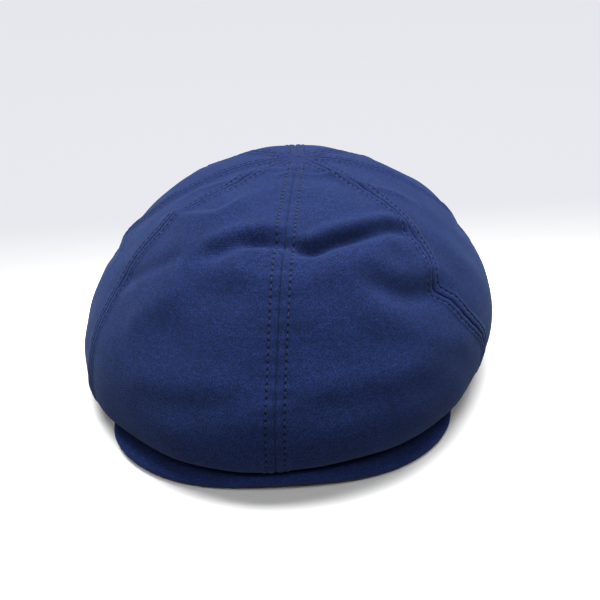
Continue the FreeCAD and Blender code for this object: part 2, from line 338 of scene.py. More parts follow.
def shell(name, outer, inner, closed=False, capped=False, layers=None):
    """A closed thin shell between two grids; capped ends in a point after its last row."""
    rows, columns = outer.shape[:2]
    count = rows * columns
    vertices = np.concatenate((outer.reshape(-1, 3), inner.reshape(-1, 3)))
    faces = quads(rows, columns, 0, closed) + quads(rows, columns, count, closed, True)
    maps = {}
    for layer_name, values in (layers or {}).items():
        flat = values.reshape(-1, 2)
        maps[layer_name] = np.concatenate((flat, flat))
    if capped:
        tips = np.stack((outer[-1].mean(axis=0), inner[-1].mean(axis=0)))
        vertices = np.concatenate((vertices, tips))
        for layer_name in maps:
            middle = maps[layer_name][(rows - 1) * columns:count].mean(axis=0)
            maps[layer_name] = np.concatenate((maps[layer_name], (middle, middle)))
        ring = (rows - 1) * columns
        for c in range(columns):
            d = (c + 1) % columns
            faces.append([ring + c, ring + d, 2 * count])
            faces.append([count + ring + d, count + ring + c, 2 * count + 1])
    borders = len(faces)
    last = columns if closed else columns - 1
    for c in range(last):
        d = (c + 1) % columns
        faces.append([d, c, count + c, count + d])
        if not capped:
            top = (rows - 1) * columns
            faces.append([top + c, top + d, count + top + d, count + top + c])
    if not closed:
        for r in range(rows - 1):
            low = r * columns
            high = low + columns
            faces.append([low, high, count + high, count + low])
            low += columns - 1
            high += columns - 1
            faces.append([high, low, count + low, count + high])
    return add_object(name, vertices, faces, borders, maps)


def tube_ring(name, grid, layers):
    """A closed ring of closed sections: both ways round join up."""
    rows, columns = grid.shape[:2]
    faces = quads(rows, columns, 0, True)
    for c in range(columns):
        d = (c + 1) % columns
        faces.append([(rows - 1) * columns + c, (rows - 1) * columns + d, d, c])
    maps = {key: values.reshape(-1, 2) for key, values in layers.items()}
    return add_object(name, grid.reshape(-1, 3), faces, None, maps)


def stitches(name, rows_of_points):
    """Short bent threads; each row is (starts, middles, ends, normals)."""
    sides = 6
    rings = 5
    vertices = []
    faces = []
    for starts, middles, ends, normals in rows_of_points:
        for a, m, b, n in zip(starts, middles, ends, normals):
            along = unit(b - a)
            side = unit(np.cross(along, n))
            first = len(vertices)
            for k in range(rings):
                t = k / (rings - 1)
                centre = a * (1 - t) ** 2 + 2 * m * t * (1 - t) + b * t * t
                radius = STITCH_RADIUS * (0.75 + 0.5 * math.sin(math.pi * t) ** 0.5)
                for j in range(sides):
                    turn = TAU * j / sides
                    vertices.append(centre + radius * (math.cos(turn) * side + math.sin(turn) * n))
            faces += quads(rings, sides, first, True)
            faces.append([first + j for j in range(sides)][::-1])
            faces.append([first + (rings - 1) * sides + j for j in range(sides)])
    return add_object(name, np.array(vertices), faces)


def stitch_row(line, normals, place, last, seed):
    """Stitches along a line of points, phased by the running length place."""
    random = np.random.default_rng(seed)
    begin = np.arange(math.ceil(STITCH_START / STITCH_PITCH),
                      math.floor(last / STITCH_PITCH)) * STITCH_PITCH
    begin = begin + (STITCH_PITCH - STITCH_LENGTH) / 2

    def at(s, values):
        return np.stack([np.interp(s, place, values[:, k]) for k in range(3)], axis=-1)

    length = STITCH_LENGTH * random.uniform(0.92, 1.06, size=begin.shape)
    n = unit(at(begin + length / 2, normals))
    a = at(begin, line) - n * STITCH_DIP
    b = at(begin + length, line) - n * STITCH_DIP
    m = at(begin + length / 2, line) + n * STITCH_RISE
    return a, m, b, n


# --- the crown ---

def crown_surface(angle, w):
    """The crown's plain outside, before its seams and slack."""
    angle, w = np.broadcast_arrays(np.asarray(angle, float), np.asarray(w, float))
    reach = np.where(np.cos(angle) > 0, CROWN_FRONT, CROWN_BACK)
    height = around(WIDEST_HEIGHT, angle) + RIM_TILT * np.sin(angle)
    rim = stack(CROWN_HALF_WIDTH * np.sin(angle), OPENING_Y - reach * np.cos(angle), height)
    top = np.broadcast_to((JUNCTION_LEAN, OPENING_Y + JUNCTION_BACK, CROWN_TOP), rim.shape)
    out = (rim - top) * (1.0, 1.0, 0.0)
    flat = top + out * around(TOP_FULLNESS, angle)[..., None]
    shoulder = rim.copy()
    shoulder[..., 2] += around(SHOULDER_FULLNESS, angle) * (CROWN_TOP - height)
    over = bezier(top, flat, shoulder, rim, np.minimum(w, 1.0))
    seam = oval((BAND_HALF[0] + CLOTH_THICK, BAND_HALF[1] + CLOTH_THICK), angle,
                CROWN_SEAM_HEIGHT)
    low = around(LOWEST_HEIGHT, angle)
    drop = rim.copy()
    drop[..., 2] = low - UNDER_TUCK * (height - low)
    inner = seam + UNDER_REACH * (rim - seam)
    inner[..., 2] = low - UNDER_DROP
    under = bezier(rim, drop, inner, seam, np.maximum(w, 1.0) - 1.0)
    return np.where((w <= 1.0)[..., None], over, under)


def rim_angle(turn_deg):
    """Where a seam meets the widest line, if it leaves the junction at this turn."""
    angles = np.radians(np.linspace(0.0, 360.0, 1441))
    reach = np.where(np.cos(angles) > 0, CROWN_FRONT, CROWN_BACK)
    x = CROWN_HALF_WIDTH * np.sin(angles)
    y = -reach * np.cos(angles)
    turns = np.unwrap(np.arctan2(x, JUNCTION_BACK - y))
    return float(np.interp(math.radians(turn_deg), turns, angles))


def seam_angle(index, w):
    """Where seam number index runs; seam 0 is at the centre front."""
    base = rim_angle(45.0 * index)
    angle = np.full_like(w, base)
    for degrees, place, spread in SEAM_WANDER.get(index % 8, ()):
        past = np.minimum(w, place) if place > NEAR_RIM else w
        angle += math.radians(degrees) * bell(past - place, spread)
    return angle


def fold(points, path, depth, width, ridge=0.0, taper=0.24):
    """The height that one of FOLDS adds at each point.

    A positive ridge lies on the junction's side of the path and a negative one on the
    rim's side.
    """
    depth, width, ridge = depth * MM, width * MM, ridge * MM
    places = np.array(path, float)
    knots = np.arange(len(places))
    fine = np.linspace(0, len(places) - 1, 8 * (len(places) - 1) + 1)
    angle = np.radians(np.interp(fine, knots, places[:, 0]))
    along = np.interp(fine, knots, places[:, 1])
    kernel = np.hanning(9) / np.hanning(9).sum()
    line = np.pad(crown_surface(angle, along), ((4, 4), (0, 0)), mode="edge")
    line = np.stack([np.convolve(line[:, k], kernel, mode="valid") for k in range(3)], axis=-1)
    uphill = crown_surface(angle, along - 0.02) - line
    sideways = crown_surface(angle + 0.02, along) - line
    across = unit(np.cross(np.gradient(line, axis=0), np.cross(uphill, sideways)))
    if np.sum(across * uphill) < 0:
        across = -across
    flat = points.reshape(-1, 3)
    nearest = np.full(len(flat), 1e9)
    place = np.zeros(len(flat))
    beside = np.zeros(len(flat))
    for k in range(len(line) - 1):
        step = line[k + 1] - line[k]
        part = np.clip((flat - line[k]) @ step / (step @ step), 0.0, 1.0)
        offset = flat - line[k] - part[:, None] * step
        distance = np.linalg.norm(offset, axis=1)
        closer = distance < nearest
        nearest[closer] = distance[closer]
        place[closer] = (k + part[closer]) / (len(line) - 1)
        beside[closer] = offset[closer] @ across[k]
    strength = smoothstep(0.0, taper, place) * smoothstep(1.0, 1.0 - taper, place)
    height = depth * bell(nearest, width)
    if ridge:
        from_roll = beside * np.sign(ridge) - 1.5 * width
        height += abs(ridge) * bell(from_roll, 1.1 * width) * bell(nearest, 3.5 * width)
    return (height * strength).reshape(points.shape[:-1])


def wrinkles(points, angle, w):
    """How far the slack cloth stands off the crown's plain shape."""
    height = -1.2 * MM + 0.9 * MM * ripple(points, 85 * MM, 3)
    height += 0.35 * MM * ripple(points, 30 * MM, 4)
    # the front stands up steeply below the crease and is fuller above it
    front = smoothstep(0.0, 0.9, np.cos(angle))
    height += front * (3.8 * MM * bell(w - 0.39, 0.13) - 3.2 * MM * bell(w - 0.68, 0.12))
    for each in FOLDS:
        height += fold(points, *each)
    # the underside is eased into the band
    eased = smoothstep(1.35, 1.95, w)
    height += 0.9 * MM * eased * np.sin(46 * angle + 2.5 * ripple(points, 60 * MM, 5))
    return height


def gore_grid(index):
    """One gore as a dense grid, with what the sewing needs to know about it."""
    w = np.concatenate((np.linspace(FIRST_ROW, 1.0, TOP_ROWS),
                        np.linspace(1.0, 2.0, UNDER_ROWS + 1)[1:]))
    start = seam_angle(index, w)
    end = seam_angle(index + 1, w)
    samples = np.linspace(0.0, 1.0, 33)
    angle = np.empty((len(w), 2 * len(NEAR_SEAM) + MIDDLE_COLUMNS))
    places = np.empty_like(angle)
    width = np.empty(len(w))
    for r, value in enumerate(w):
        trial = start[r] + (end[r] - start[r]) * samples
        length = run_length(crown_surface(trial, value))
        total = length[-1]
        near = NEAR_SEAM * min(1.0, total / (2.5 * NEAR_SEAM[-1]))
        middle = np.linspace(near[-1], total - near[-1], MIDDLE_COLUMNS + 2)[1:-1]
        places[r] = np.concatenate((near, middle, (total - near)[::-1]))
        angle[r] = np.interp(places[r], length, trial)
        width[r] = total
    grid = crown_surface(angle, w[:, None])
    return grid, angle, w, places, width


def seam_relief(distance, along):
    """The welt, groove and stitch rows beside a seam."""
    height = WELT_HEIGHT * (1.0 - smoothstep(*WELT_EDGE, distance))
    height += ROW_RIDGE * bell(distance - 0.5 * STITCH_ROW, 1.4 * MM)
    height += ROW_RIDGE * bell(distance - OUTER_RIDGE, 0.9 * MM)
    height -= ROW_DIP * bell(distance - STITCH_ROW, ROW_DIP_WIDTH)
    pucker = PUCKER_HEIGHT * bell(distance, 9 * MM)
    height += pucker * np.sin(TAU * along / PUCKER_PITCH + 1.5 * np.sin(along / (21 * MM)))
    deep = smoothstep(0.0, GROOVE_START, along)
    return height - GROOVE_DEPTH * deep * bell(distance, GROOVE_WIDTH)


def make_gore(index):
    """A gore's cloth, the lines of its two rows of stitches, its flat size and its area."""
    grid, angle, w, places, width = gore_grid(index)
    distance = np.minimum(places, width[:, None] - places)
    along = run_length(grid, axis=0)
    left = places < width[:, None] / 2
    seam_run = np.where(left, along[:, :1], along[:, -1:])
    slack = wrinkles(grid, angle, w[:, None])
    bulge = GORE_BULGE * np.sin(math.pi * places / width[:, None])
    bulge = bulge * smoothstep(0.05, 0.4, w)[:, None]
    relief = seam_relief(distance, seam_run)
    normals = -grid_normals(grid)
    if normals[TOP_ROWS // 2, normals.shape[1] // 2, 2] < 0:
        normals = -normals
    outer = grid + normals * (slack + bulge + relief)[..., None]
    allowance = CLOTH_THICK + ALLOWANCE_THICK * bell(distance, ALLOWANCE_WIDTH)
    inner = grid + normals * (slack + bulge - allowance)[..., None]
    middle = places.shape[1] // 2
    cloth = np.stack((places - width[:, None] / 2,
                      np.broadcast_to(along[:, middle:middle + 1], places.shape)), axis=-1)
    sewing = np.stack((distance, seam_run), axis=-1)
    if faces_inwards(grid, 10, 4, normals[10, 4]):
        outer, inner = outer[:, ::-1], inner[:, ::-1]
        cloth, sewing = cloth[:, ::-1], sewing[:, ::-1]
    piece = shell(GORES[index] + "_cloth", outer, inner,
                  layers={"cloth": cloth, "sewing": sewing})
    rows = []
    columns = outer.shape[1]
    surface_normals = grid_normals(outer)
    for seed, column in ((2 * index, ROW_COLUMN), (2 * index + 1, columns - 1 - ROW_COLUMN)):
        line = outer[:, column]
        place = sewing[:, column, 1]
        last = place[TOP_ROWS + UNDER_ROWS // 5]
        rows.append(stitch_row(line, surface_normals[:, column], place, last, seed))
    flat = (float(width.max()), float(along[-1].max()))
    return piece, rows, flat, grid_area(grid)


# --- the visor ---

def visor_outline(q):
    """The visor's front edge; q runs -1 to 1 from the wearer's right to left."""
    front_y = OPENING_Y - VISOR_REACH
    middle = np.array((0.0, front_y, 0.0))
    front_handle = np.array((VISOR_FRONT_HANDLE, front_y, 0.0))
    side_handle = np.array((VISOR_SIDE_HANDLE[0], OPENING_Y - VISOR_SIDE_HANDLE[1], 0.0))
    corner = np.array((VISOR_CORNER_X, VISOR_CORNER_Y, 0.0))
    line = bezier(middle, front_handle, side_handle, corner, np.abs(q))
    line[..., 0] *= np.sign(q)
    forward = (VISOR_CORNER_Y - line[..., 1]) / (VISOR_CORNER_Y - front_y)
    line[..., 1] += VISOR_SKEW * line[..., 0] * np.minimum(forward * 2.0, 1.0)
    return line


def visor_grid(columns=121, rows=46):
    """Plan places from the band out to the front edge, with the run to that edge."""
    q = np.linspace(-1.0, 1.0, columns)
    edge = visor_outline(q)
    corner_angle = math.acos((OPENING_Y - VISOR_CORNER_Y) / (BAND_HALF[1] + VISOR_GAP))
    band = oval((BAND_HALF[0] + VISOR_GAP, BAND_HALF[1] + VISOR_GAP), q * corner_angle, 0.0)
    span = np.linalg.norm(edge - band, axis=-1)
    fraction = 1.0 - (1.0 - np.linspace(0.0, 1.0, rows)) ** 1.8
    plan = band[None] + (edge - band)[None] * fraction[:, None, None]
    to_edge = span[None] * (1.0 - fraction[:, None])
    return plan, to_edge


def visor_middle(plan):
    """The height of the visor's middle surface."""
    turn = np.clip((plan[..., 0] - VISOR_LIFT_X) / VISOR_LIFT_HALF_WIDTH, -1.0, 1.0)
    lift = VISOR_LIFT * np.cos(turn * math.pi / 2) ** 2
    return VISOR_HALF_THICK + VISOR_CLEAR + lift


def visor_layer(side):
    """A surface of the visor, above (side 1) or below (side -1) its middle."""
    plan, to_edge = visor_grid()
    nose = np.minimum(to_edge, VISOR_NOSE) / VISOR_NOSE
    thick = VISOR_HALF_THICK * np.sqrt(np.maximum(1.0 - (1.0 - nose) ** 2, 0.0))
    grid = plan.copy()
    grid[..., 2] = visor_middle(plan) + side * thick
    grid[..., 2] += 0.25 * MM * ripple(plan, 40 * MM, 11) * nose
    return grid


def make_visor_cover(name, side):
    """A cover's cloth, its flat size and its area."""
    grid = visor_layer(side)
    normals = grid_normals(grid)
    if normals[5, 60, 2] * side < 0:
        normals = -normals
    inner = grid - normals * VISOR_COVER_THICK
    inner[-1] = grid[-1] + (0.0, VISOR_COVER_THICK, 0.0)
    along = run_length(grid, axis=0)
    across = run_length(grid, axis=1)
    middle = grid.shape[1] // 2
    cloth = np.stack((across - across[:, middle:middle + 1], along), axis=-1)
    sewing = np.full_like(cloth, UNSEWN)
    outer = grid
    if faces_inwards(grid, 5, 60, normals[5, 60]):
        outer, inner = outer[:, ::-1], inner[:, ::-1]
        cloth = cloth[:, ::-1]
    piece = shell(name, outer, inner, layers={"cloth": cloth, "sewing": sewing})
    flat = (2 * VISOR_HALF_WIDTH, VISOR_REACH - (OPENING_Y - VISOR_CORNER_Y))
    return piece, flat, grid_area(grid)


def make_board():
    """The stiff sheet between the covers, a little smaller than they are."""
    plan = visor_grid(81, 24)[0][:, BOARD_TRIM:-BOARD_TRIM]
    fraction = np.linspace(0.0, 1.0, plan.shape[0])[:, None, None]
    start = plan[:1] + unit(plan[-1:] - plan[:1]) * BOARD_INSET
    end = plan[-1:] - unit(plan[-1:] - plan[:1]) * BOARD_INSET
    plan = start + (end - start) * fraction
    top = plan.copy()
    top[..., 2] = visor_middle(plan) + BOARD_HALF_THICK
    under = plan.copy()
    under[..., 2] = visor_middle(plan) - BOARD_HALF_THICK
    if faces_inwards(top, 5, 35, UP):
        top, under = top[:, ::-1], under[:, ::-1]
    return shell("visor_board_sheet", top, under)


# --- band, sweatband, lining ---

def ring_section(thick, low, high):
    """A closed thin section with rounded ends, as (out, z) pairs."""
    radius = thick / 2
    rise = np.linspace(low + radius, high - radius, 14)
    outside = np.stack((np.full_like(rise, radius), rise), axis=-1)
    turn = math.pi * np.arange(1, 9) / 9
    bend = radius * np.stack((np.cos(turn), np.sin(turn)), axis=-1)
    return np.concatenate((outside, (0.0, high - radius) + bend,
                           outside[::-1] * (-1.0, 1.0), (0.0, low + radius) - bend))


def make_ring(name, half, thick, low, high, shape):
    """An oval band and its run; shape(angle, z, points) is how far it strays outwards."""
    section = ring_section(thick, low, high)
    angle = np.linspace(0.0, TAU, 361)[:-1]
    middle = (half[0] - thick / 2, half[1] - thick / 2)
    centre = oval(middle, angle[None], section[:, 1:2])
    out = unit(stack(np.sin(angle) / middle[0], -np.cos(angle) / middle[1], 0.0))
    stray = shape(np.broadcast_to(angle[None], centre.shape[:2]), centre[..., 2], centre)
    grid = centre + out[None] * (section[:, :1] + stray)[..., None]
    round_run = run_length(oval(middle, np.append(angle, TAU), 0.0))[:-1]
    up = run_length(np.pad(section, ((0, 0), (0, 1))))
    cloth = np.stack(np.broadcast_arrays(round_run[None], up[:, None]), axis=-1)
    sewing = np.full_like(cloth, UNSEWN)
    if faces_inwards(grid, 2, 0, out[0]):
        grid, cloth, sewing = grid[:, ::-1], cloth[:, ::-1], sewing[:, ::-1]
    return tube_ring(name, grid, {"cloth": cloth, "sewing": sewing}), float(round_run[-1])


def back_gather(angle):
    """1 behind, where the elastic draws the sweatband in, and 0 elsewhere."""
    drawn_in = smoothstep(*np.radians(GATHER_IN), angle)
    return drawn_in * (1.0 - smoothstep(*np.radians(GATHER_OUT), angle))


def headband_stray(angle, z, points):
    """Soft waves, the joint behind and a line sewn along the lower rim."""
    wave = 0.25 * MM * ripple(points, 70 * MM, 21)
    joint = -0.5 * MM * bell((angle - math.pi) * BAND_HALF[1], 0.9 * MM)
    return wave + joint - 0.25 * MM * bell(z - 3.0 * MM, 0.7 * MM)


def sweatband_stray(angle, z, points):
    """Soft waves, and small pleats over the elastic."""
    pleats = 0.35 * MM * np.sin(150 * angle) * back_gather(angle) * bell(z - 15 * MM, 12 * MM)
    return 0.1 * MM * ripple(points, 60 * MM, 22) + pleats


def band_patch(name, middle_deg, half_deg, thick, low, high, ribs):
    """A strip on the sweatband's inside, and its run."""
    angle = np.radians(np.linspace(middle_deg - half_deg, middle_deg + half_deg, 161))
    z = np.linspace(low, high, 24)[:, None]
    inside = (SWEAT_HALF[0] - PATCH_INSET, SWEAT_HALF[1] - PATCH_INSET)
    back = oval(inside, angle[None], z)
    front = oval((inside[0] - thick, inside[1] - thick), angle[None], z)
    centre = np.array((0.0, OPENING_Y, 0.0))
    inward = unit((centre - front) * (1.0, 1.0, 0.0))
    if ribs:
        front = front + inward * (RIB_HEIGHT * np.sin(ribs * angle))[None, :, None]
    run = run_length(front, axis=1)
    cloth = np.stack(np.broadcast_arrays(run, z), axis=-1)
    if faces_inwards(front, 5, 10, inward[5, 10]):
        front, back, cloth = front[:, ::-1], back[:, ::-1], cloth[:, ::-1]
    piece = shell(name, front, back, layers={"cloth": cloth})
    return piece, float(run[0, -1])


def lining_point(angle, t):
    """A point on the plain lining; t is 0 at the band and 1 at its top."""
    rise = LINING_TOP - BAND_TOP - LINING_CLEAR
    turn = t * math.pi / 2
    half = (SWEAT_HALF[0] + 0.4 * MM, SWEAT_HALF[1] + 0.4 * MM)
    shrink = np.cos(turn)
    return stack(half[0] * shrink * np.sin(angle), OPENING_Y - half[1] * shrink * np.cos(angle),
                 BAND_TOP + rise * np.sin(turn))


def lining_slack(points, angle, t):
    """How far the loose satin stands in from its plain shape."""
    height = 0.9 * MM * ripple(points, 50 * MM, 31) + 0.35 * MM * ripple(points, 16 * MM, 32)
    height += 0.6 * MM * np.sin(34 * angle + 3 * ripple(points, 80 * MM, 33)) * bell(t - 0.02, 0.12)
    return height - 0.4 * MM


def lining_piece(name, angles, ts, whole=False):
    """A piece of lining between the places ts; a whole one goes round and closes on top."""
    angle, t = np.meshgrid(angles, ts)
    grid = lining_point(angle, t)
    centre = np.array((0.0, OPENING_Y, BAND_TOP))
    inward = unit(centre - grid)
    slack = lining_slack(grid, angle, t)
    if whole:
        edge = np.abs(t - ts[0])
        slack = slack + 0.5 * MM * bell(edge, 0.02)
        slack = slack + 0.5 * MM * np.sin(40 * angle) * bell(edge, 0.08) * smoothstep(1.0, 0.8, t)
    front = grid + inward * (slack + LINING_THICK)[..., None]
    back = grid + inward * slack[..., None]
    run = np.stack((angle, t), axis=-1) * LINING_RUN
    if faces_inwards(front, 3, 10, inward[3, 10]):
        front, back, run = front[:, ::-1], back[:, ::-1], run[:, ::-1]
    return shell(name, front, back, whole, whole, {"cloth": run})


# --- materials ---

class Nodes:
    """A little help with a material's node tree."""

    def __init__(self, name):
        self.material = bpy.data.materials.new(name)
        self.material.use_nodes = True
        self.tree = self.material.node_tree
        self.shader = self.tree.nodes["Principled BSDF"]

    def add(self, kind, **settings):
        node = self.tree.nodes.new(kind)
        for key, value in settings.items():
            setattr(node, key, value)
        return node

    def link(self, source, target):
        self.tree.links.new(source, target)

    def math(self, operation, a, b=None):
        node = self.add("ShaderNodeMath", operation=operation)
        for socket, value in zip(node.inputs, (a, b)):
            if value is None:
                continue
            if isinstance(value, (int, float)):
                socket.default_value = value
            else:
                self.link(value, socket)
        return node.outputs[0]

    def weighted(self, *parts):
        """The sum of sockets, each times its weight."""
        total = 0.0
        for socket, weight in parts:
            total = self.math("ADD", self.math("MULTIPLY", socket, weight), total)
        return total

    def uv(self, name):
        return self.add("ShaderNodeUVMap", uv_map=name).outputs[0]

    def noise(self, vector, scale, detail, roughness):
        node = self.add("ShaderNodeTexNoise")
        node.inputs["Scale"].default_value = scale
        node.inputs["Detail"].default_value = detail
        node.inputs["Roughness"].default_value = roughness
        self.link(vector, node.inputs["Vector"])
        return node.outputs["Fac"]

    def scaled(self, vector, x, y):
        node = self.add("ShaderNodeVectorMath", operation="MULTIPLY")
        node.inputs[1].default_value = (x, y, 1.0)
        self.link(vector, node.inputs[0])
        return node.outputs[0]

    def lines(self, vector, direction, pitch):
        """A sine across a surface, 0 to 1, with crests pitch apart."""
        size = math.hypot(*direction)
        node = self.add("ShaderNodeVectorMath", operation="DOT_PRODUCT")
        node.inputs[1].default_value = (direction[0] / size * TAU / pitch,
                                        direction[1] / size * TAU / pitch, 0.0)
        self.link(vector, node.inputs[0])
        wave = self.math("SINE", node.outputs["Value"])
        return self.math("ADD", self.math("MULTIPLY", wave, 0.5), 0.5)

    def stretch(self, value, low, high):
        """0 where value is at or below low, 1 at or above high, smooth between."""
        node = self.add("ShaderNodeMapRange", interpolation_type="SMOOTHSTEP")
        self.link(value, node.inputs["Value"])
        node.inputs["From Min"].default_value = low
        node.inputs["From Max"].default_value = high
        return node.outputs[0]

    def ramp(self, factor, *stops):
        """A colour ramp; each stop is (place, colour)."""
        node = self.add("ShaderNodeValToRGB")
        ramp = node.color_ramp
        while len(ramp.elements) < len(stops):
            ramp.elements.new(0.5)
        for element, (place, colour) in zip(ramp.elements, stops):
            element.position = place
            element.color = (*colour, 1.0)
        self.link(factor, node.inputs[0])
        return node.outputs[0]

    def multiply(self, colour, factor, low, high):
        """colour times a grey that runs low to high with factor."""
        scale = self.add("ShaderNodeMapRange")
        self.link(factor, scale.inputs["Value"])
        scale.inputs["To Min"].default_value = low
        scale.inputs["To Max"].default_value = high
        node = self.add("ShaderNodeVectorMath", operation="SCALE")
        self.link(colour, node.inputs[0])
        self.link(scale.outputs[0], node.inputs["Scale"])
        return node.outputs[0]

    def finish(self, colour, height, distance, strength, **sockets):
        """Wires the colour and the bump to the shader and sets its other sockets."""
        self.link(colour, self.shader.inputs["Base Color"])
        for key, value in sockets.items():
            self.shader.inputs[key.replace("_", " ")].default_value = value
        bump = self.add("ShaderNodeBump")
        bump.inputs["Strength"].default_value = strength
        bump.inputs["Distance"].default_value = distance
        self.link(height, bump.inputs["Height"])
        self.link(bump.outputs[0], self.shader.inputs["Normal"])
        return self.material


WALE_PITCH = 1.05 * MM
YARN_PITCH = 0.5 * MM
NEEDLE_HOLE = (0.35 * MM, 1.00 * MM)
NAVY_DARK = (0.0017, 0.0040, 0.0158)
NAVY = (0.0035, 0.0075, 0.0281)
NAVY_LIGHT = (0.0060, 0.0121, 0.0423)


def twill_material(name, brightness):
    """Brushed cotton twill: fine diagonal wale, mottled dye, and needle holes by the seams, darkened
    with painted shade.

    The second argument scales how light the dye is; the visor's cover has a lighter copy, which is
    painted light standing in for the light that the crown's overhang keeps off the visor.
    """
    n = Nodes(name)
    cloth = n.uv("cloth")
    wale = n.lines(cloth, (0.45, 1.0), WALE_PITCH)
    yarn = n.lines(cloth, (1.0, -0.3), YARN_PITCH)
    fuzz = n.noise(n.scaled(cloth, 1.0, 0.45), 2600.0, 2.0, 0.7)
    fleck = n.noise(n.scaled(cloth, 1.0, 0.8), 1150.0, 4.0, 0.72)
    blotch = n.noise(cloth, 300.0, 2.0, 0.6)
    cloud = n.noise(cloth, 60.0, 5.0, 0.62)
    colour = n.ramp(fleck, (0.36, NAVY_DARK), (0.50, NAVY), (0.64, NAVY_LIGHT))
    # the cloudy dye, scaled by the second argument; on the visor's cover this scaling is painted
    # light
    colour = n.multiply(colour, cloud, 0.68 * brightness, 1.32 * brightness)
    colour = n.multiply(colour, blotch, 0.56, 1.44)
    colour = n.multiply(colour, wale, 0.94, 1.06)
    # needle holes between the stitches of each row: small pits in the bump, and painted shade that
    # darkens each hole
    split = n.add("ShaderNodeSeparateXYZ")
    n.link(n.uv("sewing"), split.inputs[0])
    off_row = n.math("ABSOLUTE", n.math("SUBTRACT", split.outputs["X"], STITCH_ROW))
    phase = n.math("FRACT", n.math("ADD", n.math("DIVIDE", split.outputs["Y"], STITCH_PITCH), 0.5))
    past = n.math("MULTIPLY", n.math("ABSOLUTE", n.math("SUBTRACT", phase, 0.5)), STITCH_PITCH)
    reach = n.math("SQRT", n.math("ADD", n.math("POWER", off_row, 2.0), n.math("POWER", past, 2.0)))
    off_hole = n.stretch(reach, *NEEDLE_HOLE)
    # painted shade: each needle hole darkens the cloth to 0.22 of its colour
    colour = n.multiply(colour, off_hole, 0.22, 1.0)
    height = n.weighted((wale, 0.35), (yarn, 0.2), (fuzz, 0.7), (fleck, 0.6), (off_hole, 1.5))
    return n.finish(colour, height, 0.16 * MM, 0.55, Roughness=0.92, Specular_IOR_Level=0.08,
                    Sheen_Weight=0.046, Sheen_Roughness=0.5, Sheen_Tint=(0.36, 0.55, 1.0, 1.0))


def woven_material(name, dark, light, pitch, direction, roughness, sheen, bump=0.5):
    """A plain ribbed weave in two close colours."""
    n = Nodes(name)
    cloth = n.uv("cloth")
    rib = n.lines(cloth, direction, pitch)
    cross = n.lines(cloth, (-direction[1], direction[0]), pitch * 0.7)
    fleck = n.noise(cloth, 700.0, 3.0, 0.6)
    colour = n.ramp(fleck, (0.3, dark), (0.72, light))
    colour = n.multiply(colour, rib, 0.82, 1.08)
    height = n.weighted((rib, 1.0), (cross, 0.35), (fleck, 0.6))
    return n.finish(colour, height, 0.15 * MM, bump, Roughness=roughness,
                    Specular_IOR_Level=0.3, Sheen_Weight=sheen, Sheen_Roughness=0.4)


def generated_material(name, dark, light, scale, roughness, metallic=0.0, bump=0.3):
    """Speckled plastic, board or metal, patterned in the object's own space."""
    n = Nodes(name)
    place = n.add("ShaderNodeTexCoord").outputs["Object"]
    grain = n.noise(place, scale, 5.0, 0.6)
    brightness = n.noise(place, scale * 0.12, 2.0, 0.5)
    colour = n.ramp(grain, (0.32, dark), (0.7, light))
    colour = n.multiply(colour, brightness, 0.85, 1.1)
    return n.finish(colour, grain, 0.05 * MM, bump, Roughness=roughness, Metallic=metallic)


# distances over which the floor turns from white paper to the greyer, evenly lit backdrop
FLOOR_BEHIND = (0.090, 0.245)
FLOOR_FAR = (0.45, 0.80)
FLOOR_GREYS = ((0.0, 0.28), (0.20, 0.112), (0.36, 0.089), (1.0, 0.003))
BACKDROP_GLOW = (0.825, 0.830, 0.865, 1.0)


def floor_material():
    """A pale sweep that turns a little greyer behind the cap and far from it."""
    n = Nodes("pale_sweep")
    place = n.add("ShaderNodeTexCoord").outputs["Object"]
    node = n.add("ShaderNodeVectorMath", operation="DOT_PRODUCT")
    node.inputs[1].default_value = (-0.10, 1.0, 0.0)
    n.link(place, node.inputs[0])
    behind = n.stretch(node.outputs["Value"], *FLOOR_BEHIND)
    radius = n.add("ShaderNodeVectorMath", operation="LENGTH")
    n.link(place, radius.inputs[0])
    far = n.stretch(radius.outputs["Value"], *FLOOR_FAR)
    glow = n.math("MAXIMUM", behind, far)
    n.link(glow, n.shader.inputs["Emission Strength"])
    colour = n.ramp(glow, *((stop, (grey, grey, grey)) for stop, grey in FLOOR_GREYS))
    paper = n.noise(place, 900.0, 3.0, 0.6)
    return n.finish(n.multiply(colour, paper, 0.99, 1.01), paper, 0.05 * MM, 0.1, Roughness=0.75,
                    Specular_IOR_Level=0.0, Emission_Color=BACKDROP_GLOW)


# --- putting it together ---

def dress(piece, body, material, slot, nodes=()):
    """Gives a piece its material and body, and hides the CAD nodes that it stands for; slot is not
    used.
    """
    piece.data.materials.append(material)
    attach(piece, body)
    if nodes:
        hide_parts(*nodes)


def flex(piece, material, node):
    """Gives a visor piece its material, bakes its place into its mesh and hides the CAD node that it
    stands for; the piece is sewn to the band behind and carried by the visor.
    """
    piece.data.materials.append(material)
    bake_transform(piece)
    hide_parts(node)


twill = twill_material("twill", 1.0)
